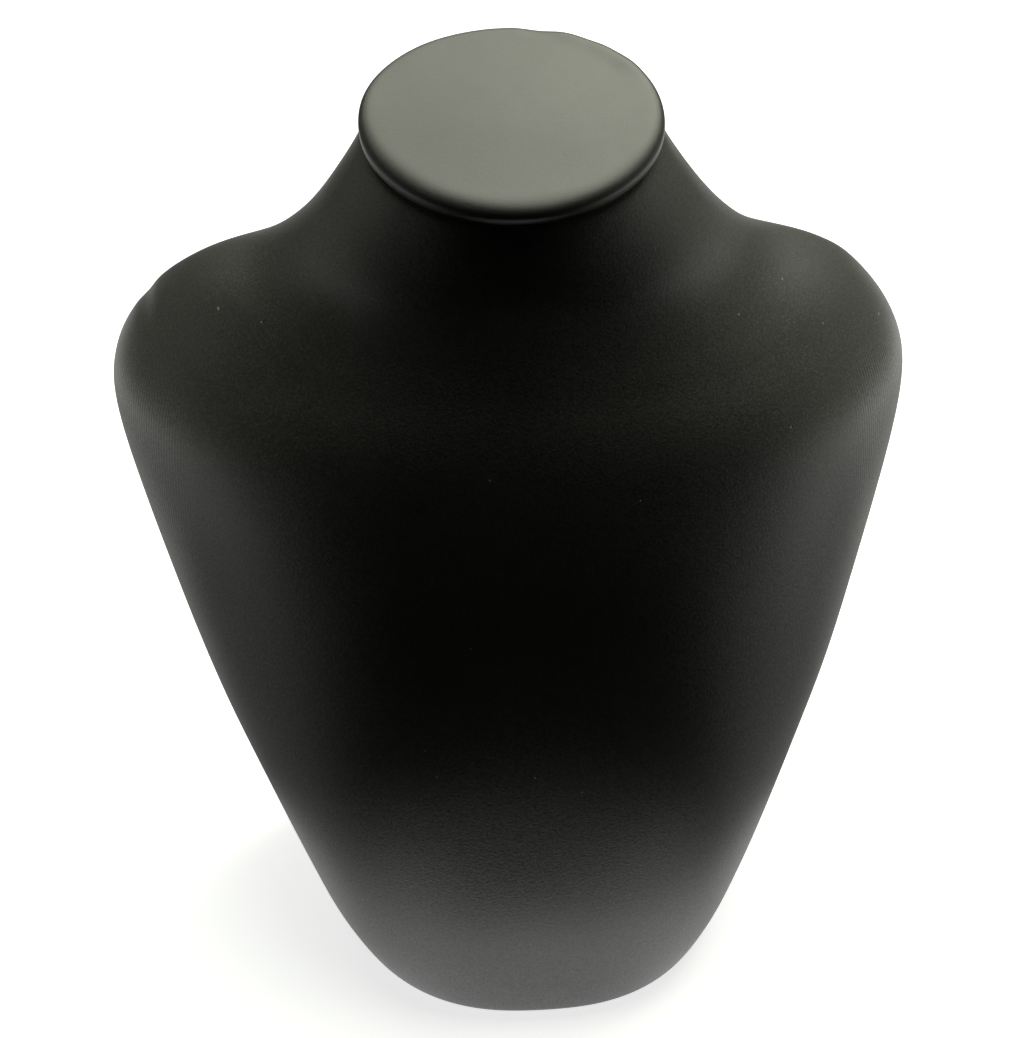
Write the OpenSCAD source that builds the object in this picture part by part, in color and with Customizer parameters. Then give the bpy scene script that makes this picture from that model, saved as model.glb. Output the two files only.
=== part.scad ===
// Necklace stand: a padded neck and shoulder form that holds one necklace.
// A hollow moulded torso wears a stretch leatherette cover, its neck is closed
// by an oval padded cap, its open back by a lined board, and it rests on a pad.
// Millimetres. +Z up, the chest faces -Y, the flat back faces +Y. The origin is
// on the standing surface, under the middle of the stand.

/* [Torso widths, from the foot up] */
// Width of the foot
foot_w = 105; // [98:1:110]
// Width at the heel, where the foot's round flank begins
heel_w = 116; // [112:1:123]
// Width at the skirt
skirt_w = 132; // [128:1:141]
// Width at the waist
waist_w = 157; // [148:1:166]
// Width at the ribs
rib_w = 183; // [172:1:190]
// Width over the shoulders, the widest place
shoulder_w = 200; // [194:1:208]
// Width where the shoulders turn inwards
slope_w = 179; // [172:1:188]
// Width at the yoke, half way in over the shoulders
yoke_w = 154; // [140:1:160]
// Width at the collar, where the neck begins
collar_w = 118; // [108:1:126]
// Width at the nape
nape_w = 84; // [76:1:92]

/* [Torso depths, measured forward from the flat back] */
// Depth of the foot
foot_d = 104; // [98:1:106]
// Depth at the heel
heel_d = 107; // [103:1:108]
// Depth at the skirt, the foremost place
skirt_d = 109; // [109:1:118]
// Depth at the waist
waist_d = 107; // [103:1:109]
// Depth at the ribs
rib_d = 100.5; // [97:0.5:104]
// Depth of the chest at the shoulders
shoulder_d = 90; // [87:0.5:93]
// Depth where the shoulders turn inwards
slope_d = 83; // [81:0.5:86]
// Depth at the yoke
yoke_d = 80; // [79:0.5:82]
// Depth at the collar
collar_d = 77.3; // [76:0.1:79]
// Depth at the nape
nape_d = 74.5; // [73:0.5:76]

/* [Torso levels, measured up from the foot] */
// Level of the heel
heel_z = 9; // [6:1:13]
// Level of the skirt
skirt_z = 28; // [22:1:36]
// Level of the waist
waist_z = 60; // [50:1:72]
// Level of the ribs
rib_z = 98; // [84:1:112]
// Level of the shoulders
shoulder_z = 133.5; // [125:0.5:140]
// Level where the shoulders turn inwards
slope_z = 152.5; // [148:0.5:156]
// Level of the yoke
yoke_z = 161; // [158:0.5:164]
// Level of the collar, at the middle of its tilted ring
collar_z = 168.5; // [167:0.5:172]
// Level of the nape, at the middle of its tilted ring
nape_z = 183; // [180:1:186]
// Level of the neck's top, at its middle
neck_z = 197.4; // [194:0.2:206]

/* [Drops, how far the chest side of a ring lies below its sides] */
// Drop of the ring at the shoulders
shoulder_drop = 2.5; // [0:0.5:4]
// Drop of the ring where the shoulders turn inwards
slope_drop = 6; // [4:0.5:8]
// Drop of the ring at the yoke
yoke_drop = 7.5; // [6:0.5:9]
// Drop of the ring at the collar
collar_drop = 8.5; // [7:0.5:10]

/* [Neck] */
// Forward tilt of the neck's top, in degrees
neck_tilt = 29; // [18:1:31]
// Middle of the neck's top, measured forward from the flat back
neck_set = 45.8; // [42:0.2:48]
// Middle of the nape ring, measured forward from the flat back
nape_set = 47; // [44:1:50]
// Middle of the collar ring, measured forward from the flat back
collar_set = 28; // [24:1:34]
// Middle of the yoke ring, measured forward from the flat back
yoke_set = 12; // [9:1:16]
// How far the nape stands forward of the flat back
nape_gap = 12; // [8:1:15]
// How far the collar stands forward of the flat back
collar_gap = 5; // [3:1:7]
// How far the yoke stands forward of the flat back
yoke_gap = 1; // [0.5:0.5:2]

/* [Section shape] */
// Power of the chest's curve at the foot: 2 is an ellipse, more is fuller
foot_power = 2.5; // [2:0.1:3]
// Power of the chest's curve at the shoulders
shoulder_power = 2.15; // [2:0.05:2.6]
// Hollow between the neck and the shoulder, strongest at the yoke
yoke_hollow = 0.2; // [0:0.1:1]
// Radius of the edges beside the flat back
back_r = 6; // [5.5:0.5:9]
// Radius of the edge round the foot and round the neck's top
edge_r = 1.5; // [1.2:0.1:2.5]

/* [Torso shell and cover] */
// Thickness of the moulded torso
wall_t = 2.5; // [1.5:0.25:2.75]
// Thickness of the leatherette
cover_t = 1; // [0.6:0.1:1.1]
// Thickness of each film of glue
glue_t = 0.1; // [0.05:0.05:0.2]
// Width of the cover's hem on the flat back
back_hem = 12; // [10:1:15]
// Width of the torso's ledge round its open back
back_ledge = 18; // [16:1:24]
// Width of the cover's hem under the foot
foot_hem = 10; // [6:1:16]
// Width of the cover's hem on the neck's top
neck_hem = 8; // [5:1:12]

/* [Cap] */
// Width of the oval cap
cap_w = 68; // [62:1:74]
// Depth of the oval cap
cap_d = 63.5; // [56:0.5:66]
// Thickness of the cap at its rim
cap_t = 4.8; // [4.6:0.2:8]
// How far the cap overhangs the neck all round
cap_overhang = 1; // [0.5:0.25:2]
// How far the cap's soft upper edge reaches in over its top
cap_soft = 7; // [5:0.5:12]
// How far that soft edge drops down the rim
cap_drop = 3; // [2.2:0.1:3.4]
// Radius of the cap's lower edge
cap_low_r = 1; // [1:0.1:1.6]
// Rise of the cap's padded top at its middle
cap_crown = 0.8; // [0.4:0.1:2]
// Thickness of the board in the cap
cap_board_t = 1.4; // [1:0.2:1.8]
// Width of the cap cover's hem under the cap
cap_hem = 9; // [6:1:12]

/* [Back and foot] */
// Thickness of the back board
board_t = 2; // [1.5:0.25:3]
// Thickness of the back board's lining
lining_t = 0.4; // [0.3:0.1:0.8]
// How far the back board keeps from the torso's outline
board_inset = 7.5; // [7:0.5:9]
// Least lap of the back board over the lower and upper edge of the open back
board_lap = 6; // [4:1:10]
// Height of the back board's straight sides above the foot
board_side_z = 146; // [136:1:148]
// Rise of the back board's arched top
board_rise = 7; // [4:1:9]
// Radius of the back board's corners
board_corner_r = 6; // [3:1:10]
// How far the lining keeps from the board's edge
lining_inset = 0.3; // [0.2:0.1:1]
// Thickness of the foot pad
pad_t = 1.5; // [1:0.25:3]
// How far the foot pad keeps from the foot's outline
pad_inset = 4; // [3:0.5:6]

/* [Hidden] */

leatherette = [0.07, 0.07, 0.065];
moulding = [0.80, 0.79, 0.75];
fibreboard = [0.55, 0.42, 0.28];
foam = [0.86, 0.84, 0.76];
velvet_paper = [0.05, 0.05, 0.05];
felt = [0.10, 0.10, 0.10];

// Steps round a section, for half the chest and for one back corner, steps up
// from each station to the next, closer over the shoulders, and round the oval
chest_steps = 13;
corner_steps = 3;
rises = [2, 3, 3, 3, 4, 5, 4, 3, 3, 2];
oval_steps = 40;

// The foot stands on its pad, and the flat back lies this far behind the origin
lift = pad_t + glue_t;
stack_t = glue_t + board_t + glue_t + lining_t;
back_y = (skirt_d - stack_t) / 2;

neck_w = cap_w - 2 * cap_overhang;
neck_d = cap_d - 2 * cap_overhang;

// The torso's sections, from the foot to the neck's top. The columns are the
// level, width, depth, middle, gap behind, roundness of the back, power of the
// chest's curve, hollow beside the neck, and level of the foremost point.
nape_front = nape_z - (nape_d - nape_set) * tan(neck_tilt);
neck_front = neck_z - neck_d / 2 * sin(neck_tilt);
neck_ahead = neck_set + neck_d / 2 * cos(neck_tilt);
mean_power = (foot_power + shoulder_power) / 2;
sections = [
    [0, foot_w, foot_d, back_r, 0, 0, foot_power, 0, 0],
    [heel_z, heel_w, heel_d, back_r, 0, 0, foot_power, 0, heel_z],
    [skirt_z, skirt_w, skirt_d, back_r, 0, 0, foot_power, 0, skirt_z],
    [waist_z, waist_w, waist_d, back_r, 0, 0, foot_power, 0, waist_z],
    [rib_z, rib_w, rib_d, back_r, 0, 0, mean_power, 0, rib_z],
    [shoulder_z, shoulder_w, shoulder_d, back_r, 0, 0, shoulder_power,
     yoke_hollow * 0.1, shoulder_z - shoulder_drop],
    [slope_z, slope_w, slope_d, back_r, 0, 0.05, 2,
     yoke_hollow * 0.55, slope_z - slope_drop],
    [yoke_z, yoke_w, yoke_d, yoke_set, yoke_gap, 0.35, 2,
     yoke_hollow, yoke_z - yoke_drop],
    [collar_z, collar_w, collar_d, collar_set, collar_gap, 0.85, 2,
     yoke_hollow * 0.7, collar_z - collar_drop],
    [nape_z, nape_w, nape_d, nape_set, nape_gap, 1, 2, yoke_hollow * 0.15, nape_front],
    [neck_z, neck_w, neck_ahead, neck_set, neck_set - neck_d / 2, 1, 2, 0, neck_front],
];
top = len(sections) - 1;
columns = len(sections[0]) - 1;

// Slope of one column at a station, limited so that no width or depth between
// two stations goes past the larger of them
function mean_slope(a, b, c) =
    (b - a) * (c - b) <= 0 ? 0 : 2 * (b - a) * (c - b) / (c - a);
function slope_at(k, i) =
    i == 0 ? 1.5 * (sections[1][k] - sections[0][k])
        - 0.5 * mean_slope(sections[0][k], sections[1][k], sections[2][k])
    : i == top ? 1.5 * (sections[top][k] - sections[top - 1][k])
        - 0.5 * mean_slope(sections[top - 2][k], sections[top - 1][k], sections[top][k])
    : mean_slope(sections[i - 1][k], sections[i][k], sections[i + 1][k]);
slopes = [for (i = [0:top]) [for (k = [0:columns]) slope_at(k, i)]];

// The section at any place s, where s counts the stations from 0 at the foot.
// Its third column is the depth in the ring's own plane and its last the tilt,
// so that the foremost point lies where the table says. From the nape up the
// tilt is the neck's
function section(s) =
    let (v = blend(s),
         ahead = v[2] - v[3],
         drop = v[0] - v[8],
         tilt = s >= top - 1 ? neck_tilt : atan2(drop, ahead))
    [v[0], v[1], v[3] + ahead / cos(tilt), v[3], v[4], v[5], v[6], v[7], tilt];
function blend(s) =
    let (i = min(floor(s), top - 1), t = s - i)
    (2 * pow(t, 3) - 3 * t * t + 1) * sections[i]
    + (pow(t, 3) - 2 * t * t + t) * slopes[i]
    + (3 * t * t - 2 * pow(t, 3)) * sections[i + 1]
    + (pow(t, 3) - t * t) * slopes[i + 1];

// Middle of a section and the direction its plane faces
function middle(v) = [0, back_y - v[3], lift + v[0]];
function facing(v) = [0, -sin(v[8]), cos(v[8])];

// Outline of a section in its own plane: the chest from left to right, then the
// back from right to left, with a point at the given margin on each side of it
function chest_points(v) =
    [for (k = [-chest_steps:chest_steps])
        let (a = 90 * k / chest_steps,
             u = pow(abs(sin(a)), 2 / v[6]),
             x = neck_w / 2 * u + (v[1] - neck_w) / 2 * pow(u, 1 + v[7]))
        [sign(k) * x, -(v[2] - v[3]) * pow(max(cos(a), 0), 2 / v[6])]];
function corner_point(v, k, margin) =
    let (a = 90 * k / corner_steps,
         b = 90 * k / (corner_steps + 2),
         deep = v[3] - v[4],
         flat_x = k <= corner_steps ? v[1] / 2 - back_r * (1 - cos(a))
             : k == corner_steps + 1 ? v[1] / 2 - margin : 0,
         flat_y = k <= corner_steps ? deep * sin(a) : deep)
    [(1 - v[5]) * flat_x + v[5] * v[1] / 2 * cos(b),
     (1 - v[5]) * flat_y + v[5] * deep * sin(b)];
function outline(v, margin) = concat(
    chest_points(v),
    [for (k = [1:corner_steps + 2]) corner_point(v, k, margin)],
    [for (k = [corner_steps + 1:-1:1])
        let (p = corner_point(v, k, margin)) [-p[0], p[1]]]);
ring_n = 2 * chest_steps + 2 * corner_steps + 4;

// The ring of a section in space
function ring(s, margin) =
    let (v = section(s), m = middle(v), c = cos(v[8]), d = sin(v[8]))
    [for (p = outline(v, margin)) [p[0], m[1] + p[1] * c, m[2] + p[1] * d]];

// A ring drawn in by d on all sides, in its own plane
function low(l, k) = min([for (p = l) p[k]]);
function high(l, k) = max([for (p = l) p[k]]);
function drawn_in(l, d) =
    let (w = high(l, 0) - low(l, 0),
         y = high(l, 1) - low(l, 1),
         z = l[2 * chest_steps + corner_steps + 2][2] - l[chest_steps][2],
         deep = sqrt(y * y + z * z),
         m = (l[2 * chest_steps + corner_steps + 2] + l[chest_steps]) / 2)
    [for (p = l) [p[0] * (1 - 2 * d / w),
                  m[1] + (p[1] - m[1]) * (1 - 2 * d / deep),
                  m[2] + (p[2] - m[2]) * (1 - 2 * d / deep)]];

// The place s at which the loft is a given distance above the foot, and the one
// at which it is a given distance below the neck's top, found by halving
function s_above(d, lo = 0, hi = 1, n = 24) =
    n == 0 ? (lo + hi) / 2
    : section((lo + hi) / 2)[0] < d ? s_above(d, (lo + hi) / 2, hi, n - 1)
    : s_above(d, lo, (lo + hi) / 2, n - 1);
function below(s) =
    (middle(section(top)) - middle(section(s))) * facing(section(top));
function s_below(d, lo = top - 1, hi = top, n = 24) =
    n == 0 ? (lo + hi) / 2
    : below((lo + hi) / 2) > d ? s_below(d, (lo + hi) / 2, hi, n - 1)
    : s_below(d, lo, (lo + hi) / 2, n - 1);

// Places of a wall's rings, from end_d above the foot to end_d below the top
function places(end_d) =
    let (a = s_above(end_d), b = s_below(end_d))
    concat([for (k = [0:rises[0] - 1]) a + (1 - a) * k / rises[0]],
           [for (i = [1:top - 2]) for (k = [0:rises[i] - 1]) i + k / rises[i]],
           [for (k = [0:rises[top - 1]])
               top - 1 + (b - top + 1) * k / rises[top - 1]]);
function rings_to(i) = i == 0 ? 0 : rings_to(i - 1) + rises[i - 1];
wall_n = rings_to(top) + 1;

// Rings of a wall that lies t inside the torso's surface. Each point moves in
// its ring's plane, just so far that it ends t away from the surface
function inset_point(l, i, j, n, t, face) =
    let (round = l[i][(j + 1) % ring_n] - l[i][(j + ring_n - 1) % ring_n],
         up = l[min(i + 1, n - 1)][j] - l[max(i - 1, 0)][j],
         out = cross(round, up) / norm(cross(round, up)),
         flat_out = out - (out * face) * face)
    l[i][j] - flat_out * t / (flat_out * flat_out);
function wall(t, end_d, margin) =
    let (ss = places(end_d),
         l = [for (s = ss) ring(s, margin)])
    t == 0 ? l
    : [for (i = [0:wall_n - 1])
        let (face = facing(section(ss[i])))
        [for (j = [0:ring_n - 1]) inset_point(l, i, j, wall_n, t, face)]];

// Faces of a stack of rings whose first point is number first. The window, if
// any, is [first ring, last ring, first point, last point] of a hole in it
function in_window(i, j, w) =
    len(w) == 4 && i >= w[0] && i < w[1] && j >= w[2] && j < w[3];
function stack_faces(rings, n, first, window = []) =
    [for (i = [0:rings - 2]) for (j = [0:n - 1])
        if (!in_window(i, j, window))
        let (a = first + i * n + j, b = first + i * n + (j + 1) % n)
        each [[a, b + n, b], [a, a + n, b + n]]];
function turned(faces) = [for (f = faces) [for (k = [len(f) - 1:-1:0]) f[k]]];
function low_face(n, first) = [for (j = [0:n - 1]) first + j];
function high_face(rings, n, first) =
    [for (j = [n - 1:-1:0]) first + (rings - 1) * n + j];

// Faces that join the edges of a window in an outer stack, whose first point is
// number a, to those of the same window in an inner stack, from number b
function window_edge(w, n) = concat(
    [for (j = [w[2]:w[3] - 1]) w[0] * n + j],
    [for (i = [w[0]:w[1] - 1]) i * n + w[3]],
    [for (j = [w[3]:-1:w[2] + 1]) w[1] * n + j],
    [for (i = [w[1]:-1:w[0] + 1]) i * n + w[2]]);
function rim_faces(w, n, a, b) =
    let (e = window_edge(w, n), m = len(e))
    [for (k = [0:m - 1])
        let (p = e[k], q = e[(k + 1) % m])
        each [[a + p, b + q, a + q], [a + p, b + p, b + q]]];

// Faces between two rings that start at points number a and b
function join_faces(a, b) =
    [for (j = [0:ring_n - 1])
        let (k = (j + 1) % ring_n)
        each [[a + j, b + k, a + k], [a + j, b + j, b + k]]];

function joined(stacks) = [for (s = stacks) each [for (r = s) each r]];

// Window in the flat back: its lowest and highest ring, and the two margin
// points between which it lies
levels = [for (s = places(0)) section(s)[0]];
window_low = min([for (i = [0:wall_n - 1])
    if (levels[i] > board_inset + board_lap) i]);
window_high = max([for (i = [0:wall_n - 1])
    if (levels[i] < board_side_z - board_lap) i]);
window_left = 2 * chest_steps + corner_steps + 1;
window = [window_low, window_high, window_left, window_left + 2];

// Oval outline, and a stack of ovals from a profile of [distance in, height]
function oval(a, b) =
    [for (k = [0:oval_steps - 1])
        let (t = 360 * k / oval_steps) [a * cos(t), b * sin(t)]];
function oval_stack(profile) =
    [for (q = profile)
        [for (p = oval(cap_w / 2 - q[0], cap_d / 2 - q[0])) [p[0], p[1], q[1]]]];

// Profile of the cap's form, drawn in by t, from its flat underside to the
// middle of its crown: a small round edge below, a wide soft one above
cap_r = min(cap_drop, cap_t - cap_low_r - 0.4);
crown_in = cap_d / 2 - cap_soft;
function cap_low(t) =
    let (r = max(cap_low_r - t, 0.05))
    [for (a = [0:30:90]) [t + r * (1 - sin(a)), t + r * (1 - cos(a))]];
function cap_high(t) = concat(
    [for (a = [0:18:90])
        [t + (cap_soft - t) * (1 - cos(a)), cap_t - t - (cap_r - t) * (1 - sin(a))]],
    [for (f = [0.25, 0.5, 0.75])
        [cap_soft + crown_in * f, cap_t - t + cap_crown * (1 - cos(180 * f)) / 2]]);

// How far in the soft edge, drawn in by t, lies at a height over the underside
function soft_in(t, z) =
    let (a = asin(max(1 - (cap_t - t - z) / (cap_r - t), 0)))
    t + (cap_soft - t) * (1 - cos(a));

// Places what is drawn flat on the neck's tilted top
module on_neck(height = 0) {
    translate([0, back_y - neck_set, lift + neck_z])
        rotate([neck_tilt, 0, 0])
            translate([0, 0, height])
                children();
}

// The moulded torso: a hollow shell, closed at the foot and at the neck, with
// a window in its flat back that leaves a ledge for the cover and the board
module torso_core() {
    outer_t = cover_t + glue_t;
    inner_t = outer_t + wall_t;
    outer = wall(outer_t, outer_t, back_ledge);
    inner = wall(inner_t, inner_t, back_ledge);
    b = wall_n * ring_n;
    color(moulding)
        polyhedron(
            points = joined([outer, inner]),
            faces = concat(
                stack_faces(wall_n, ring_n, 0, window),
                [low_face(ring_n, 0), high_face(wall_n, ring_n, 0)],
                turned(stack_faces(wall_n, ring_n, b, window)),
                turned([low_face(ring_n, b), high_face(wall_n, ring_n, b)]),
                rim_faces(window, ring_n, 0, b)),
            convexity = 8);
}

// Rings of the cover's rounded edge and hem at the foot, then at the neck
foot_edge = [for (a = [0:30:60])
    let (z = edge_r * (1 - cos(a)))
    drawn_in(ring(s_above(z), back_hem), edge_r * (1 - sin(a)))];
neck_edge = [for (a = [60:-30:0])
    let (z = edge_r * (1 - cos(a)))
    drawn_in(ring(s_below(z), back_hem), edge_r * (1 - sin(a)))];

// The leatherette cover, stretched over the torso and turned in on its back,
// under its foot and over its neck's top
module torso_cover() {
    outer = concat(foot_edge, wall(0, edge_r, back_hem), neck_edge);
    hem_top = [drawn_in(ring(top, back_hem), neck_hem),
               drawn_in(ring(s_below(cover_t), back_hem), neck_hem)];
    inner = wall(cover_t, cover_t, back_hem);
    hem_foot = [drawn_in(ring(s_above(cover_t), back_hem), foot_hem),
                drawn_in(ring(0, back_hem), foot_hem)];
    outer_n = len(outer);
    b = (outer_n + 2) * ring_n;
    c = b + wall_n * ring_n;
    shift = len(foot_edge);
    outer_window = [window[0] + shift, window[1] + shift, window[2], window[3]];
    color(leatherette)
        polyhedron(
            points = joined([outer, hem_top, inner, hem_foot]),
            faces = concat(
                stack_faces(outer_n + 2, ring_n, 0, outer_window),
                turned(stack_faces(wall_n, ring_n, b, window)),
                join_faces((outer_n + 1) * ring_n, b + (wall_n - 1) * ring_n),
                join_faces(b, c),
                stack_faces(2, ring_n, c),
                join_faces(c + ring_n, 0),
                rim_faces(window, ring_n, shift * ring_n, b)),
            convexity = 8);
}

// The stiff oval board inside the cap
module cap_board() {
    d = cover_t + glue_t;
    inset = max(d + cap_low_r / 2, soft_in(d, d + cap_board_t) + 0.2);
    color(fibreboard)
        on_neck(glue_t + d)
            linear_extrude(height = cap_board_t)
                polygon(oval(cap_w / 2 - inset, cap_d / 2 - inset));
}

// The thin foam pad on that board, with a soft edge and a low crown
module cap_pad() {
    d = cover_t + glue_t;
    low_z = d + cap_board_t + glue_t;
    rings = oval_stack(concat([[soft_in(d, low_z) + 0.15, low_z]],
        [for (q = cap_high(d)) if (q[1] > low_z + 0.2) q]));
    color(foam)
        on_neck(glue_t)
            polyhedron(
                points = joined([rings]),
                faces = concat(
                    stack_faces(len(rings), oval_steps, 0),
                    [low_face(oval_steps, 0), high_face(len(rings), oval_steps, 0)]),
                convexity = 4);
}

// The leatherette over the cap, turned in on its underside
module cap_cover() {
    outer = oval_stack(concat([[cap_hem, 0]], cap_low(0), cap_high(0)));
    inner = oval_stack(concat([[cap_hem, cover_t]], cap_low(cover_t), cap_high(cover_t)));
    n = len(outer);
    b = n * oval_steps;
    color(leatherette)
        on_neck(glue_t)
            polyhedron(
                points = joined([outer, inner]),
                faces = concat(
                    stack_faces(n, oval_steps, 0),
                    [high_face(n, oval_steps, 0)],
                    turned(stack_faces(n, oval_steps, b)),
                    turned([high_face(n, oval_steps, b)]),
                    [for (j = [0:oval_steps - 1])
                        let (k = (j + 1) % oval_steps)
                        each [[j, k, b + k], [j, b + k, b + j]]]),
                convexity = 6);
}

// Outline of the back board: the torso's own sides drawn in, an arched top
board_levels = [for (k = [0:24]) board_inset + (board_side_z - board_inset) * k / 24];
function width_at(z, lo = 0, hi = top, n = 24) =
    n == 0 ? section((lo + hi) / 2)[1]
    : section((lo + hi) / 2)[0] < z ? width_at(z, (lo + hi) / 2, hi, n - 1)
    : width_at(z, lo, (lo + hi) / 2, n - 1);
module board_outline(d = 0) {
    side = [for (z = board_levels) [width_at(z) / 2 - board_inset, z]];
    wide = side[len(side) - 1][0];
    arch = [for (k = [1:15])
        let (x = wide * (1 - k / 8))
        [x, board_side_z + board_rise * (1 - pow(x / wide, 2))]];
    offset(delta = -d)
        offset(r = board_corner_r)
            offset(delta = -board_corner_r)
                polygon(concat(side, arch,
                    [for (k = [len(side) - 1:-1:0]) [-side[k][0], side[k][1]]]));
}
module on_back(y) {
    translate([0, back_y + y, lift])
        rotate([90, 0, 0])
            mirror([0, 0, 1])
                children();
}

// The flat board that closes the back, glued on the hem
module back_board() {
    color(fibreboard)
        on_back(glue_t)
            linear_extrude(height = board_t)
                board_outline();
}

// The lining on that board
module back_lining() {
    color(velvet_paper)
        on_back(glue_t + board_t + glue_t)
            linear_extrude(height = lining_t)
                board_outline(lining_inset);
}

// The felt pad that the stand rests on
module foot_pad() {
    color(felt)
        linear_extrude(height = pad_t)
            polygon([for (p = drawn_in(ring(0, back_hem), pad_inset)) [p[0], p[1]]]);
}

torso_core();
torso_cover();
cap_board();
cap_pad();
cap_cover();
back_board();
back_lining();
foot_pad();
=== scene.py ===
"""Looks of a necklace stand: a neck and shoulder form in black leatherette.

The stand is a moulded torso with a stretched leatherette cover, an oval padded
cap on its neck, a flocked board on its flat back and a felt pad under its foot.
Metres, +Z up, the chest faces -Y and the flat back +Y, the origin is on the
standing surface. Sizes written in millimetres say so in their names or notes.
"""

import logging
import math
from collections.abc import Callable, Sequence
from dataclasses import dataclass
from enum import Enum
from functools import reduce

import bmesh
import bpy
from bpy.types import Material, Node, NodeSocket as Socket, Object, World
from mathutils import Matrix, Vector, noise


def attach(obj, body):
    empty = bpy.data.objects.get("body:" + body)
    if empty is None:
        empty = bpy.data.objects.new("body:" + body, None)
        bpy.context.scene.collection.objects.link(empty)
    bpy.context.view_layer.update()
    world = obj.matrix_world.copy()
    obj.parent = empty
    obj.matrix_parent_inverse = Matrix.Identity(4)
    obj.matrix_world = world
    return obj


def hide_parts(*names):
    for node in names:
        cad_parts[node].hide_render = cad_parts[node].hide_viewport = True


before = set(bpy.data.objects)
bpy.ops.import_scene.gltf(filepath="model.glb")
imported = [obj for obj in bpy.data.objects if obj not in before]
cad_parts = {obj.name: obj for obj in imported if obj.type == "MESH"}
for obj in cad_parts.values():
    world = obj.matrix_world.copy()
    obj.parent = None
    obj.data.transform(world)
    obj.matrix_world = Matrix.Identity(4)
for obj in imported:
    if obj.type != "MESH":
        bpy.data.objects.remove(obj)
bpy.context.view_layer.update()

log = logging.getLogger("necklace_stand")

MM = 0.001
HALVINGS = 24
BODY = "root"

Ring = list[Vector]
Flat = tuple[float, float]
Colour = tuple[float, float, float, float]


class Slot(Enum):
    """The record's material slots."""

    LEATHERETTE = "leatherette"
    MOULDING = "moulding"
    FIBREBOARD = "fibreboard"
    FOAM = "foam"
    VELVET_PAPER = "velvet_paper"
    FELT = "felt"


# ---- modelling


def deselect() -> None:
    """Leaves nothing selected, so that the next operator acts on its piece alone."""
    bpy.ops.object.select_all(action="DESELECT")


def take(piece: Object) -> None:
    """Makes one piece the only selected and the active one."""
    deselect()
    piece.select_set(True)
    bpy.context.view_layer.objects.active = piece


def apply_modifier(piece: Object, kind: str, **settings: object) -> None:
    """Adds a modifier with its settings and applies it to the mesh.

    Args:
        piece: The object to change.
        kind: Blender's name for the modifier's type.
        **settings: Values for the modifier's own properties.
    """
    take(piece)
    modifier = piece.modifiers.new(kind.title(), kind)
    for key, value in settings.items():
        setattr(modifier, key, value)
    bpy.ops.object.modifier_apply(modifier=modifier.name)


def draw_wall(name: str, rings: Sequence[Ring]) -> Object:
    """Draws a wall from ring to ring: a circle is extruded and fitted again and again.

    Args:
        name: The new piece's name.
        rings: Closed rings of points, all of one length, from the first to the last.

    Returns:
        The new object in edit mode, with its last ring selected.
    """
    deselect()
    bpy.ops.mesh.primitive_circle_add(vertices=len(rings[0]))
    piece = bpy.context.object
    piece.name = piece.data.name = name
    bpy.ops.object.mode_set(mode="EDIT")
    bpy.ops.mesh.select_mode(type="VERT")
    bpy.ops.mesh.select_all(action="SELECT")
    mesh = bmesh.from_edit_mesh(piece.data)
    post = mesh.verts.layers.int.new("post")
    for number, vert in enumerate(mesh.verts):
        vert[post] = number
    for step, ring in enumerate(rings):
        if step:
            bpy.ops.mesh.extrude_region_move()
        mesh = bmesh.from_edit_mesh(piece.data)
        post = mesh.verts.layers.int["post"]
        for vert in mesh.verts:
            if vert.select:
                vert.co = ring[vert[post]]
        bmesh.update_edit_mesh(piece.data)
    return piece


def fill_ends() -> None:
    """Closes each open end of the wall in edit mode with a flat face."""
    bpy.ops.mesh.select_all(action="DESELECT")
    bpy.ops.mesh.select_non_manifold(extend=False)
    bpy.ops.mesh.edge_face_add()


def leave_edit() -> None:
    """Turns the faces outwards and goes back to object mode."""
    bpy.ops.mesh.select_all(action="SELECT")
    bpy.ops.mesh.normals_make_consistent(inside=False)
    bpy.ops.object.mode_set(mode="OBJECT")


def smooth_step(value: float) -> float:
    """A soft step from 0 to 1 as value goes from 0 to 1."""
    t = min(max(value, 0.0), 1.0)
    return t * t * (3 - 2 * t)


def halve(low: float, high: float, below: Callable[[float], bool]) -> float:
    """Finds a value between two others by halving the span between them.

    Args:
        low: A value below the wanted one.
        high: A value above it.
        below: Tells whether a value lies below the wanted one.

    Returns:
        The wanted value, to a small fraction of the span.
    """
    for _ in range(HALVINGS):
        half = (low + high) / 2
        low, high = (half, high) if below(half) else (low, half)
    return low


def move_points(piece: Object, move: Callable[[Vector, Vector], Vector]) -> None:
    """Moves every point of a piece, as with a soft sculpting brush.

    Args:
        piece: The object to change.
        move: Gives a point's new place from its place and its normal.
    """
    for vert, place in [(v, move(v.co.copy(), v.normal.copy())) for v in piece.data.vertices]:
        vert.co = place
    piece.data.update()


def shade(piece: Object, sharp: float | None = None) -> None:
    """Shades a piece smoothly.

    Args:
        piece: The object to shade.
        sharp: The angle in degrees from which an edge stays sharp, or None.
    """
    take(piece)
    if sharp is None:
        bpy.ops.object.shade_smooth()
    else:
        bpy.ops.object.shade_smooth_by_angle(angle=math.radians(sharp))


def draw_slab(name: str, rings: Sequence[Ring], bevel_mm: float, segments: int = 3) -> Object:
    """Draws a slab between two outlines, with all its sharp edges bevelled.

    Args:
        name: The new piece's name.
        rings: Its two outlines.
        bevel_mm: The bevel's width.
        segments: The bevel's rows of faces.
    """
    piece = draw_wall(name, rings)
    fill_ends()
    leave_edit()
    apply_modifier(piece, "BEVEL", width=bevel_mm * MM, segments=segments, limit_method="ANGLE")
    shade(piece, sharp=30)
    return piece


# ---- the form


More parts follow.
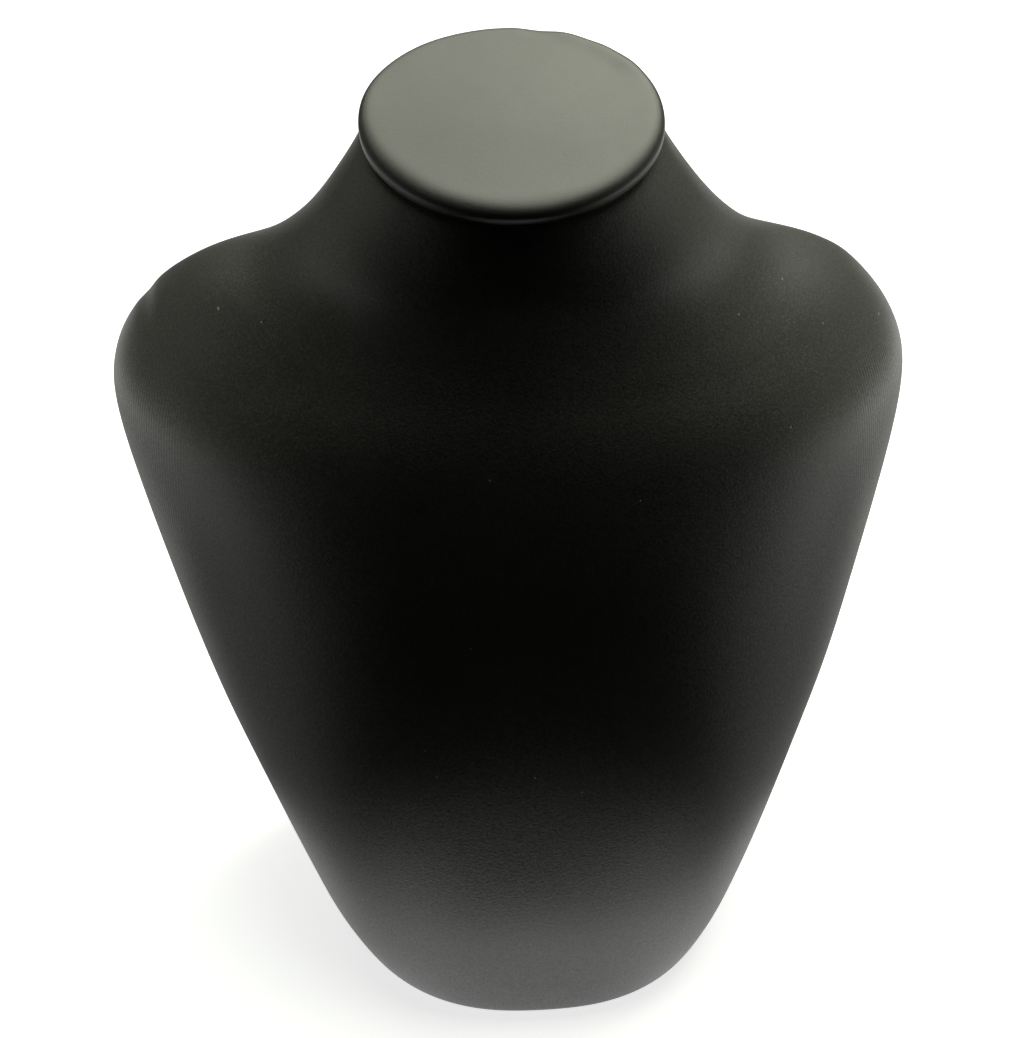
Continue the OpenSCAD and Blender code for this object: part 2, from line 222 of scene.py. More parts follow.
@dataclass(frozen=True)
class Section:
    """One section of the torso, in millimetres, with the part source's columns.

    The level, width, depth and middle are followed by the gap behind it, how
    round its back is, the power of the chest's curve, the hollow beside the
    neck and the level of its foremost point.
    """

    level: float
    width: float
    depth: float
    middle: float
    gap: float
    roundness: float
    power: float
    hollow: float
    front: float


@dataclass(frozen=True)
class TorsoForm:
    """The torso's surface: sections from the foot to the neck, smoothly joined."""

    lift: float = 1.6
    back_y: float = 53.2
    back_r: float = 6.0
    edge_r: float = 1.5
    neck_w: float = 66.0
    neck_z: float = 197.4
    neck_set: float = 45.8
    neck_tilt: float = 29.0
    chest_steps: int = 16
    corner_steps: int = 4
    hem: float = 12.0
    rises: tuple[int, ...] = (2, 3, 3, 3, 4, 5, 4, 3, 3, 2)
    # Each row holds a Section's values, from the foot up.
    stations: tuple[tuple[float, ...], ...] = (
        (0, 105, 104, 6, 0, 0, 2.5, 0, 0),
        (9, 116, 107, 6, 0, 0, 2.5, 0, 9),
        (28, 132, 109, 6, 0, 0, 2.5, 0, 28),
        (60, 157, 107, 6, 0, 0, 2.5, 0, 60),
        (98, 183, 100.5, 6, 0, 0, 2.325, 0, 98),
        (133.5, 200, 90, 6, 0, 0, 2.15, 0.02, 131),
        (152.5, 179, 83, 6, 0, 0.05, 2, 0.11, 146.5),
        (161, 154, 80, 12, 1, 0.35, 2, 0.2, 153.5),
        (168.5, 118, 77.3, 28, 5, 0.85, 2, 0.14, 160),
        (183, 84, 74.5, 47, 12, 1, 2, 0.03, 167.757),
        (197.4, 66, 72.695, 45.8, 15.05, 1, 2, 0, 182.492),
    )

    @property
    def last(self) -> int:
        """The number of the neck's station, counted from 0 at the foot."""
        return len(self.stations) - 1

    def slope(self, number: int, column: int) -> float:
        """Slope of one column at a station, limited so that nothing overshoots.

        Args:
            number: The station's number from the foot.
            column: The column's number.

        Returns:
            The change of that value per station.
        """
        v = [row[column] for row in self.stations]

        def mean(a: float, b: float, c: float) -> float:
            """Harmonic mean of two rises, or 0 where they differ in sign."""
            return 0.0 if (b - a) * (c - b) <= 0 else 2 * (b - a) * (c - b) / (c - a)

        if number == 0:
            return 1.5 * (v[1] - v[0]) - 0.5 * mean(v[0], v[1], v[2])
        if number == self.last:
            return 1.5 * (v[-1] - v[-2]) - 0.5 * mean(v[-3], v[-2], v[-1])
        return mean(v[number - 1], v[number], v[number + 1])

    def section(self, place: float) -> Section:
        """The section at any place, counted in stations from 0 at the foot."""
        i = min(int(place), self.last - 1)
        t = place - i
        low, high = self.stations[i], self.stations[i + 1]
        return Section(*(
            (2 * t**3 - 3 * t * t + 1) * low[k]
            + (t**3 - 2 * t * t + t) * self.slope(i, k)
            + (3 * t * t - 2 * t**3) * high[k]
            + (t**3 - t * t) * self.slope(i + 1, k)
            for k in range(len(low))
        ))

    def tilt(self, place: float) -> float:
        """How far a ring leans forwards, in radians: from the nape up as the neck."""
        if place >= self.last - 1:
            return math.radians(self.neck_tilt)
        v = self.section(place)
        return math.atan2(v.level - v.front, v.depth - v.middle)

    def outline(self, v: Section, ahead: float) -> list[Flat]:
        """A section's outline in its own plane, in millimetres.

        Args:
            v: The section.
            ahead: The chest's depth before the section's middle, in that plane.

        Returns:
            The chest's points from left to right, then the back's from right to left.
        """
        points: list[Flat] = []
        for k in range(-self.chest_steps, self.chest_steps + 1):
            a = math.pi / 2 * k / self.chest_steps
            u = abs(math.sin(a)) ** (2 / v.power)
            x = self.neck_w / 2 * u + (v.width - self.neck_w) / 2 * u ** (1 + v.hollow)
            points.append((math.copysign(x, k), -ahead * max(math.cos(a), 0.0) ** (2 / v.power)))
        deep = v.middle - v.gap
        back: list[Flat] = []
        for k in range(1, self.corner_steps + 3):
            a = math.pi / 2 * k / self.corner_steps
            b = math.pi / 2 * k / (self.corner_steps + 2)
            if k <= self.corner_steps:
                flat = (v.width / 2 - self.back_r * (1 - math.cos(a)), deep * math.sin(a))
            else:
                flat = (v.width / 2 - self.hem if k == self.corner_steps + 1 else 0.0, deep)
            turn = (v.width / 2 * math.cos(b), deep * math.sin(b))
            back.append(tuple(
                (1 - v.roundness) * f + v.roundness * r for f, r in zip(flat, turn, strict=True)
            ))
        return points + back + [(-x, y) for x, y in reversed(back[:-1])]

    def ring(self, place: float) -> Ring:
        """The ring of points at a place, counted in stations from the foot, in metres."""
        v, tilt = self.section(place), self.tilt(place)
        ahead = (v.depth - v.middle) / math.cos(tilt)
        return [
            Vector((
                x,
                self.back_y - v.middle + y * math.cos(tilt),
                self.lift + v.level + y * math.sin(tilt),
            )) * MM
            for x, y in self.outline(v, ahead)
        ]

    def drawn_in(self, ring: Ring, inset: float) -> Ring:
        """A ring drawn in on all sides, in its own plane.

        Args:
            ring: The ring, in metres.
            inset: How far it is drawn in, in millimetres.

        Returns:
            The smaller ring.
        """
        back = ring[2 * self.chest_steps + self.corner_steps + 2]
        front = ring[self.chest_steps]
        middle = (back + front) / 2
        across = 1 - 2 * inset * MM / (max(p.x for p in ring) - min(p.x for p in ring))
        along = 1 - 2 * inset * MM / (back - front).length
        return [
            Vector((p.x * across, *(middle.yz + (p.yz - middle.yz) * along))) for p in ring
        ]

    def place_above(self, rise: float) -> float:
        """The place that lies a distance in millimetres above the foot."""
        return halve(0.0, 1.0, lambda place: self.section(place).level < rise)

    def place_below(self, drop: float) -> float:
        """The place that lies a distance in millimetres below the neck's tilted top."""
        tilt = math.radians(self.neck_tilt)
        up = Vector((-math.sin(tilt), math.cos(tilt)))
        top = self.section(self.last)

        def deeper(place: float) -> bool:
            """Whether a section's middle lies further below the neck's top."""
            v = self.section(place)
            return Vector((v.middle - top.middle, top.level - v.level)).dot(up) > drop

        return halve(self.last - 1.0, float(self.last), deeper)

    def wall_places(self) -> list[float]:
        """Places of the wall's rings between the rounded edges at the foot and neck."""
        ends = [
            self.place_above(self.edge_r), *range(1, self.last), self.place_below(self.edge_r)
        ]
        return [
            low + (high - low) * k / steps
            for low, high, steps in zip(ends, ends[1:], self.rises, strict=False)
            for k in range(steps)
        ] + ends[-1:]

    def on_neck(self, height: float = 0.0) -> Matrix:
        """Places what is drawn flat on the neck's tilted top.

        Args:
            height: Height over the neck's top, in millimetres.

        Returns:
            The matrix from the flat drawing to the row frame.
        """
        middle = Vector((0, self.back_y - self.neck_set, self.lift + self.neck_z)) * MM
        turn = Matrix.Rotation(math.radians(self.neck_tilt), 4, "X")
        return Matrix.Translation(middle) @ turn @ Matrix.Translation((0, 0, height * MM))


# ---- finishes


def linear(colour: str) -> Colour:
    """Turns an sRGB hex colour to linear light.

    Args:
        colour: Six hex digits, with or without a leading #.

    Returns:
        Red, green, blue and a full alpha.
    """
    parts = [int(colour.lstrip("#")[k : k + 2], 16) / 255 for k in (0, 2, 4)]
    return (*(c / 12.92 if c <= 0.04045 else ((c + 0.055) / 1.055) ** 2.4 for c in parts), 1.0)


@dataclass(frozen=True)
class Step:
    """A soft step: where it starts and ends, and the results before and after it.

    The end may lie below the start.
    """

    start: float
    end: float
    low: float = 0.0
    high: float = 1.0


@dataclass(frozen=True)
class Graph:
    """The nodes of a material or of the world, and the coordinates that feed them."""

    owner: Material | World
    place: Socket

    @classmethod
    def within(cls, owner: Material | World, coordinates: str = "Object") -> "Graph":
        """Starts an empty graph.

        Args:
            owner: The material or world that the graph belongs to.
            coordinates: Object for metres in the row frame, Generated for directions.
        """
        owner.use_nodes = True
        owner.node_tree.nodes.clear()
        node = owner.node_tree.nodes.new("ShaderNodeTexCoord")
        return cls(owner, node.outputs[coordinates])

    def add(
        self, kind: str, inputs: dict[str | int, object] | None = None, **settings: object
    ) -> Node:
        """Adds one node with its settings, its values and its links.

        Args:
            kind: Blender's name for the node's type, after its ShaderNode.
            inputs: For each input a value, or the output socket that feeds it.
            **settings: Values for the node's own properties.
        """
        node = self.owner.node_tree.nodes.new(f"ShaderNode{kind}")
        for key, value in settings.items():
            setattr(node, key, value)
        for key, value in (inputs or {}).items():
            if isinstance(value, Socket):
                self.owner.node_tree.links.new(value, node.inputs[key])
            else:
                node.inputs[key].default_value = value
        return node

    def maths(self, operation: str, *values: float | Socket) -> Socket:
        """Adds a maths node.

        Args:
            operation: Blender's name for the operation.
            *values: Its numbers or the sockets that feed it, in their order.
        """
        return self.add("Math", dict(enumerate(values)), operation=operation).outputs["Value"]

    def product(self, *values: float | Socket) -> Socket:
        """Multiplies two or more values."""
        return reduce(lambda first, second: self.maths("MULTIPLY", first, second), values)

    def line(self, value: Socket, slope: float, start: float | Socket) -> Socket:
        """Multiplies a value by a slope and adds it to a start."""
        return self.maths("MULTIPLY_ADD", value, slope, start)

    def ramp(self, value: Socket, step: Step, unit: float = 1.0) -> Socket:
        """Adds a soft step.

        Args:
            value: The value that runs along the step.
            step: The step.
            unit: What its start and end are measured in, such as MM.
        """
        return self.add(
            "MapRange",
            {"Value": value, "From Min": step.start * unit, "From Max": step.end * unit,
             "To Min": step.low, "To Max": step.high},
            interpolation_type="SMOOTHSTEP",
        ).outputs["Result"]

    def axes(self, vector: Socket) -> bpy.types.bpy_prop_collection:
        """Splits a vector into its X, Y and Z."""
        return self.add("SeparateXYZ", {"Vector": vector}).outputs

    def scaled(self, vector: Socket, *scale: float) -> Socket:
        """Multiplies a vector's X, Y and Z by three numbers."""
        return self.add("Mapping", {"Vector": vector, "Scale": scale}).outputs["Vector"]

    def noise(
        self, place: Socket, size_mm: float, detail: float, roughness: float = 0.5,
        distortion: float = 0.0,
    ) -> Socket:
        """Adds a noise pattern from 0 to 1.

        Args:
            place: Coordinates in metres.
            size_mm: The size of its largest spots, in real millimetres.
            detail: How many finer layers it has.
            roughness: How strong these are.
            distortion: How far it is swirled.
        """
        return self.add(
            "TexNoise",
            {"Vector": place, "Scale": 1 / (size_mm * MM), "Detail": detail,
             "Roughness": roughness, "Distortion": distortion},
        ).outputs["Fac"]

    def mix(self, share: Socket, first: Colour | Socket, second: Colour | Socket) -> Socket:
        """Mixes two colours by the share of the second."""
        return self.add("Mix", {0: share, 6: first, 7: second}, data_type="RGBA").outputs[2]

    def surface(self, height: Socket, depth_mm: float, inputs: dict[str, object]) -> None:
        """Ends a material with its bump and its shader.

        Args:
            height: The bump's pattern, from 0 to 1.
            depth_mm: The bump's depth in real millimetres.
            inputs: The shader's other values and links.
        """
        bump = self.add("Bump", {"Height": height, "Strength": 1.0, "Distance": depth_mm * MM})
        shader = self.add("BsdfPrincipled", {"Normal": bump.outputs["Normal"], **inputs})
        self.add("OutputMaterial", {"Surface": shader.outputs["BSDF"]})


@dataclass(frozen=True)
class Leatherette:
    """Black leatherette: a matt PU film on a knitted back, calendered with a grain.

    The film gives a soft broad highlight, the grain breaks it up, and where the
    cover is stretched hardest, over the shoulders, the knit's wales show through.
    """

    name: str = "leatherette"
    slot: Slot = Slot.LEATHERETTE
    film: str = "#020202"
    worn_film: str = "#060605"
    cloud_mm: float = 22.0
    roughness: float = 0.45
    rough_span: float = 0.22
    rough_drop: float = 0.145
    rough_cloud: float = 0.3
    ior: float = 1.5
    specular: float = 0.88
    depth_mm: float = 0.05
    # The grain: pebbles, and creases that run across the chest, so squeezed in Z.
    pebble_mm: float = 0.55
    pebble_share: float = 0.55
    crease_mm: float = 1.1
    crease_share: float = 0.9
    crease_squeeze: float = 3.0
    # A fine speckle marks the grain's crests, which are polished, and off the middle painted paler
    # as a painted sheen.
    speckle_mm: float = 0.5
    polish: float = 0.5
    polished: Step = Step(0.35, 0.65)
    # Painted sheen: this colour paints the grain's crests paler off the chest's middle.
    sheen_crest: str = "#262620"
    crests: Step = Step(0.5, 0.7)
    sheen_side_mm: Step = Step(25.0, 60.0)
    # The wales, counted along |X| + wale_lean Y. They show at the shoulders alone.
    stretched: bool = True
    wale_mm: float = 1.01
    wale_lean: float = 0.35
    wale_share: float = 0.6
    wale_crest: Step = Step(-0.6, 0.9)
    wale_dots: Step = Step(0.3, 0.6, 0.4, 1.0)
    wales_side_mm: Step = Step(72.0, 82.0)
    wales_fade_mm: tuple[tuple[str, Step], ...] = (
        ("Z", Step(92.0, 106.0)), ("Z", Step(152.0, 138.0)), ("Y", Step(38.0, 24.0)),
    )
    # Specks of lint: across, level and radius in millimetres.
    lint: str = "#8f8f86"
    specks: tuple[tuple[float, float, float], ...] = (
        (-68.5, 159.2, 0.35), (-57.8, 159.2, 0.25), (49.6, 158.6, 0.25), (62.5, 161.5, 0.22),
        (89.6, 147.3, 0.3), (59.7, 136.1, 0.25), (-2.1, 56.5, 0.25), (-26.6, 44.6, 0.3),
        (24.0, 127.0, 0.2), (-14.0, 98.0, 0.18), (71.5, 152.0, 0.2), (-8.5, 133.0, 0.22),
        (-22.5, 68.5, 0.22), (-0.9, 68.2, 0.25), (9.4, 64.1, 0.2), (-24.9, 74.7, 0.18),
        (-20.7, 28.6, 0.2),
    )

    def material(self) -> Material:
        """Builds the material."""
        graph = Graph.within(bpy.data.materials.new(self.name))
        fine = graph.noise(graph.place, self.speckle_mm, detail=2.0)
        cloudy = graph.noise(graph.place, self.cloud_mm, detail=3.0, roughness=0.6)
        height = self.grain(graph)
        polish = graph.product(graph.ramp(fine, self.polished), self.polish)
        if self.stretched:
            ridges = self.wales(graph)
            height = graph.line(ridges, self.wale_share, height)
            dots = graph.product(ridges, graph.ramp(fine, self.wale_dots))
            polish = graph.line(dots, self.wale_share, polish)
        uneven = graph.line(cloudy, self.rough_cloud, fine)
        rough = graph.line(uneven, self.rough_span, self.roughness - self.rough_drop)
        graph.surface(height, self.depth_mm, {
            "Base Color": self.colour(graph, fine, cloudy), "Roughness": rough,
            "IOR": self.ior, "Specular IOR Level": self.specular, "Coat Weight": polish,
            "Coat Roughness": self.roughness, "Coat IOR": self.ior,
        })
        return graph.owner

    def grain(self, graph: Graph) -> Socket:
        """The height of the pressed grain: small pebbles with creases across the chest."""
        pebbles = graph.add(
            "TexVoronoi",
            {"Vector": graph.place, "Scale": 1 / (self.pebble_mm * MM), "Randomness": 1.0},
            feature="SMOOTH_F1",
        ).outputs["Distance"]
        squeezed = graph.scaled(graph.place, 1.0, 1.0, self.crease_squeeze)
        creases = graph.noise(squeezed, self.crease_mm, 4.0, roughness=0.6, distortion=0.6)
        return graph.line(creases, self.crease_share, graph.product(pebbles, self.pebble_share))

    def wales(self, graph: Graph) -> Socket:
        """The knit's wales, upright lines that show through at both shoulders.

        Returns:
            1 on a wale's crest, and 0 between the wales and away from the shoulders.
        """
        axes = graph.axes(graph.place)
        side = graph.maths("ABSOLUTE", axes["X"])
        along = graph.line(axes["Y"], self.wale_lean, side)
        wave = graph.maths("SINE", graph.product(along, 2 * math.pi / (self.wale_mm * MM)))
        share = graph.ramp(side, self.wales_side_mm, MM)
        for axis, fade in self.wales_fade_mm:
            share = graph.product(share, graph.ramp(axes[axis], fade, MM))
        return graph.product(graph.ramp(wave, self.wale_crest), share)

    def colour(self, graph: Graph, fine: Socket, cloudy: Socket) -> Socket:
        """The film's colour, worn in clouds.

        On the stretched cover the grain's crests are also painted paler off the
            middle, a painted sheen, and it has a few specks of lint.

        Args:
            graph: The material's graph.
            fine: The fine noise that marks the crests.
            cloudy: The broad noise that marks the worn clouds.

        Returns:
            The colour.
        """
        colour = graph.mix(cloudy, linear(self.film), linear(self.worn_film))
        if not self.stretched:
            return colour
        side = graph.maths("ABSOLUTE", graph.axes(graph.place)["X"])
        # Painted sheen on the grain's crests, off the middle.
        share = graph.product(graph.ramp(side, self.sheen_side_mm, MM), graph.ramp(fine, self.crests))
        colour = graph.mix(share, colour, linear(self.sheen_crest))
        flat = graph.scaled(graph.place, 1.0, 0.0, 1.0)
        lint: Socket | float = 0.0
        for across, level, radius in self.specks:
            away = graph.add(
                "VectorMath", {0: flat, 1: (across * MM, 0.0, level * MM)}, operation="DISTANCE"
            ).outputs["Value"]
            lint = graph.maths("MAXIMUM", graph.ramp(away, Step(radius, 0.5 * radius), MM), lint)
        return graph.mix(lint, colour, linear(self.lint))


@dataclass(frozen=True)
class PlainFinish:
    """A finish of one colour with a fine tooth: moulding, board, foam, flock or felt."""

    name: str
    slot: Slot
    colour: str
    second: str
    roughness: float
    spot_mm: float
    tooth_mm: float
    depth_mm: float
    sheen: float = 0.0

    def material(self) -> Material:
        """Builds the material."""
        graph = Graph.within(bpy.data.materials.new(self.name))
        spots, tooth = (
            graph.noise(graph.place, size, 4.0, 0.65) for size in (self.spot_mm, self.tooth_mm)
        )
        graph.surface(tooth, self.depth_mm, {
            "Base Color": graph.mix(spots, linear(self.colour), linear(self.second)),
            "Roughness": self.roughness, "Sheen Weight": self.sheen, "Sheen Roughness": 0.4,
        })
        return graph.owner


# ---- the pieces


def dress(piece: Object, finish: Leatherette | PlainFinish) -> None:
    """Gives a piece a finish."""
    piece.data.materials.clear()
    piece.data.materials.append(finish.material())


def place_piece(piece: Object, finish: Leatherette | PlainFinish, node: str) -> None:
    """Dresses a finished piece and sets it on the frame.

    Args:
        piece: The finished object, at the origin with its place in its mesh.
        finish: Its finish.
        node: The CAD node that it stands for.
    """
    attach(piece, BODY)
    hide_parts(node)
    dress(piece, finish)
    log.info("%s: %d faces, stands for %s", piece.name, len(piece.data.polygons), node)


@dataclass(frozen=True)
class Spot:
    """A soft swelling or hollow of the cover, all in millimetres."""

    across: float
    level: float
    wide: float
    tall: float
    out: float


@dataclass(frozen=True)
class TorsoCover:
    """The leatherette cover over the torso, turned in at its back, foot and neck."""

    form: TorsoForm
    finish: Leatherette = Leatherette()
    thickness: float = 0.9
    foot_hem: float = 10.0
    neck_hem: float = 8.0
    window_low: float = 13.5
    window_high: float = 140.0
    wander: float = 0.25
    wander_mm: float = 26.0
    still_back: float = 6.0
    still_foot: float = 8.0
    foot_fade: float = 12.0
    spots: tuple[Spot, ...] = (
        Spot(-62.0, 160.0, 26.0, 16.0, 0.9),
        Spot(62.0, 163.0, 26.0, 16.0, -0.6),
        Spot(-90.5, 153.0, 5.0, 4.5, -0.4),
        Spot(-50.0, 170.0, 14.0, 12.0, 0.4),
    )

    def rings(self) -> list[Ring]:
        """All rings of the skin, from the foot hem's inner edge to the neck hem's."""
        form, r = self.form, self.form.edge_r

        def edge(find: Callable[[float], float]) -> list[Ring]:
            """Rings of a rounded edge, from the flat end's to the wall's."""
            return [
                form.drawn_in(form.ring(find(r * (1 - math.cos(a)))), r * (1 - math.sin(a)))
                for a in (math.radians(turn) for turn in (0, 30, 60))
            ]

        return [
            form.drawn_in(form.ring(0.0), self.foot_hem),
            *edge(form.place_above),
            *(form.ring(place) for place in form.wall_places()),
            *reversed(edge(form.place_below)),
            form.drawn_in(form.ring(float(form.last)), self.neck_hem),
        ]

    def build(self) -> None:
        """Builds the cover and sets it on the frame."""
        piece = draw_wall("torso_leatherette", self.rings())
        self.open_back(piece)
        leave_edit()
        apply_modifier(piece, "SUBSURF", levels=2, render_levels=2)
        move_points(piece, self.stretched)
        apply_modifier(piece, "SOLIDIFY", thickness=self.thickness * MM, offset=-1.0)
        shade(piece)
        place_piece(piece, self.finish, "torso_cover")

    def open_back(self, piece: Object) -> None:
        """Cuts the opening in the back, behind the board, up the middle of the skin.

        Args:
            piece: The skin, in edit mode.
        """
        bpy.ops.mesh.select_all(action="DESELECT")
        bpy.ops.mesh.select_mode(type="FACE")
        mesh = bmesh.from_edit_mesh(piece.data)
        flat = (self.form.back_y - 0.5) * MM
        for face in mesh.faces:
            face.select = all(
                v.co.y > flat and self.window_low * MM < v.co.z < self.window_high * MM
                for v in face.verts
            ) and any(abs(v.co.x) < MM for v in face.verts)
        bmesh.update_edit_mesh(piece.data)
        bpy.ops.mesh.delete(type="FACE")

    def stretched(self, point: Vector, normal: Vector) -> Vector:
        """Where a point of the skin lies on the real, hand-covered form.

        Args:
            point: The point on the plain form.
            normal: The form's normal there.

        Returns:
            The point with the form's small unevenness.
        """
        off_back = smooth_step((self.form.back_y * MM - point.y) / (self.still_back * MM))
        off_foot = smooth_step((point.z - self.still_foot * MM) / (self.foot_fade * MM))
        out = 0.0
        for spot in self.spots:
            away = Vector((
                (point.x / MM - spot.across) / spot.wide,
                (point.z / MM - spot.level) / spot.tall,
            )).length
            out += spot.out * smooth_step(1 - away)
        out += self.wander * noise.noise(point / (self.wander_mm * MM))
        return point + normal * (out * off_back * off_foot * MM)


@dataclass(frozen=True)
class Lump:
    """A small swelling or dent of the cap's rim: its angle, reach and height."""

    turn: float
    reach: float
    out: float


@dataclass(frozen=True)
class Cap:
    """The oval cap on the neck: a board and a thin foam pad inside leatherette.

    Its upper edge is soft towards the chest and crisp towards the back.
    """

    form: TorsoForm
    finish: Leatherette = Leatherette(
        "cap_leatherette", depth_mm=0.018, polish=0.2, stretched=False
    )
    foam: PlainFinish = PlainFinish(
        "pu_foam", Slot.FOAM, "#dcd6c2", "#cfc8b2", 0.9, 4.0, 0.6, 0.2
    )
    width: float = 68.0
    depth: float = 63.5
    height: float = 4.8
    soft: float = 5.0
    drop: float = 2.3
    crisp: float = 2.2
    crisp_drop: float = 1.6
    rear_in: float = 1.5
    low_in: float = 2.2
    low_rise: float = 1.8
    crown: float = 0.6
    # The edge's softness is soft_side at both sides, and soft_fall less at the rear.
    soft_side: float = 0.3
    soft_fall: float = 0.85
    hem: float = 9.0
    thickness: float = 0.95
    steps: int = 64
    glue: float = 0.1
    board: float = 1.4
    board_low: float = 1.1
    pad_rim: float = 2.0
    uneven: float = 0.12
    uneven_mm: float = 12.0
    rim_from: float = 0.8
    rim_fade: float = 0.15
    lumps: tuple[Lump, ...] = (
        Lump(76.0, 11.0, -0.35), Lump(63.0, 11.0, 0.2), Lump(46.0, 10.0, 0.15),
        Lump(33.0, 11.0, 0.2),
    )

    def softness(self, turn: float) -> float:
        """How soft the upper edge is at an angle, from 1 at the front to 0 at the rear."""
        return smooth_step(self.soft_side - self.soft_fall * math.sin(turn))

    def place(self, turn: float, inset: float, level: float) -> Vector:
        """A point at an angle, drawn in from the cap's outline, all in millimetres."""
        across, along = math.cos(turn), math.sin(turn)
        return Vector((
            (self.width / 2 - inset) * across,
            (self.depth / 2 - inset - self.rear_in * max(along, 0.0)) * along,
            level,
        )) * MM

    def profile(self, skin: float, softness: float) -> list[Flat]:
        """The cap's profile as insets and levels, drawn in by a skin's thickness.

        Args:
            skin: How far the surface lies below the cap's own, in millimetres.
            softness: 1 for the soft upper edge, 0 for the crisp one.

        Returns:
            Insets and levels from the underside to the rim of the flat top.
        """
        soft = self.crisp + (self.soft - self.crisp) * softness - skin
        drop = self.crisp_drop + (self.drop - self.crisp_drop) * softness - skin
        low = [math.radians(a) for a in (0, 22.5, 45, 67.5, 90)]
        high = [math.radians(a) for a in (0, 15, 30, 45, 60, 75, 90)]
        return [
            (skin + (self.low_in - skin) * (1 - math.sin(a)),
             skin + (self.low_rise - skin) * (1 - math.cos(a)))
            for a in low
        ] + [
            (skin + soft * (1 - math.cos(a)), self.height - skin - drop * (1 - math.sin(a)))
            for a in high
        ]

    def turns(self) -> list[float]:
        """The angles of a ring's points, in radians."""
        return [2 * math.pi * k / self.steps for k in range(self.steps)]

    def rings(self) -> list[Ring]:
        """The rings of the cap's cover, from its hem under the cap to its flat top."""
        turns = self.turns()
        sides = [self.profile(0.0, self.softness(turn)) for turn in turns]
        return [[self.place(turn, self.hem, 0.0) for turn in turns]] + [
            [self.place(turn, *side[row]) for turn, side in zip(turns, sides, strict=True)]
            for row in range(len(sides[0]))
        ]

    def soft_in(self, skin: float, level: float) -> float:
        """How far in the soft edge, drawn in by a skin, lies at a level."""
        a = math.asin(max(1 - (self.height - skin - level) / (self.drop - skin), 0.0))
        return skin + (self.soft - skin) * (1 - math.cos(a))

    def close_top(self, piece: Object, skin: float) -> None:
        """Closes the last ring with a grid of faces and gives it its crown.

        Args:
            piece: The wall in edit mode, with its last ring selected.
            skin: How far the surface lies below the cap's own, in millimetres.
        """
        bpy.ops.mesh.fill_grid(span=self.steps // 4)
        across = (self.width / 2 - self.crisp) * MM
        along = (self.depth / 2 - self.crisp) * MM
        mesh = bmesh.from_edit_mesh(piece.data)
        for vert in mesh.verts:
            if vert.select:
                out = min(math.hypot(vert.co.x / across, vert.co.y / along), 1.0)
                rise = self.crown * (1 + math.cos(math.pi * out)) / 2
                vert.co.z = (self.height - skin + rise) * MM
        bmesh.update_edit_mesh(piece.data)

    def build(self) -> None:
        """Builds the cap's cover and sets it on the neck."""
        piece = draw_wall("cap_leatherette", self.rings())
        self.close_top(piece, 0.0)
        leave_edit()
        apply_modifier(piece, "SUBSURF", levels=2, render_levels=2)
        move_points(piece, self.handmade)
        apply_modifier(piece, "SOLIDIFY", thickness=self.thickness * MM, offset=-1.0)
        piece.data.transform(self.form.on_neck(self.glue))
        shade(piece)
        place_piece(piece, self.finish, "cap_cover")

    def handmade(self, point: Vector, normal: Vector) -> Vector:
        """Where a point lies on the real cap, whose rim is lumpy at its right rear.

        Args:
            point: The point on the plain cap, before it is set on the neck.
            normal: The cap's normal there.

        Returns:
            The point with the rim's small lumps.
        """
        across, along = point.x / (self.width / 2 * MM), point.y / (self.depth / 2 * MM)
        at_rim = smooth_step((math.hypot(across, along) - self.rim_from) / self.rim_fade)
        turn = math.degrees(math.atan2(along, across))
        out = self.uneven * noise.noise(point / (self.uneven_mm * MM))
        for lump in self.lumps:
            out += lump.out * smooth_step(1 - abs(turn - lump.turn) / lump.reach)
        return point + normal * (out * at_rim * MM)

    def build_pad(self) -> None:
        """Builds the foam pad that fills the cap over its board."""
        skin = self.thickness + 2 * self.glue
        floor = self.board_low + self.board + self.glue
        # The lowest row is cut a little smaller, and rows too close to it are left out.
        rows = [(self.soft_in(skin, floor) + 0.15, floor)] + [
            row for row in self.profile(skin, 1.0) if row[1] > floor + 0.3
        ]
        piece = draw_wall(
            "cap_foam", [[self.place(turn, *row) for turn in self.turns()] for row in rows]
        )
        self.close_top(piece, skin)
        fill_ends()
        bpy.ops.mesh.inset(thickness=self.pad_rim * MM)
        leave_edit()
        piece.data.transform(self.form.on_neck(self.glue))
        shade(piece, sharp=40)
        place_piece(piece, self.foam, "cap_pad")


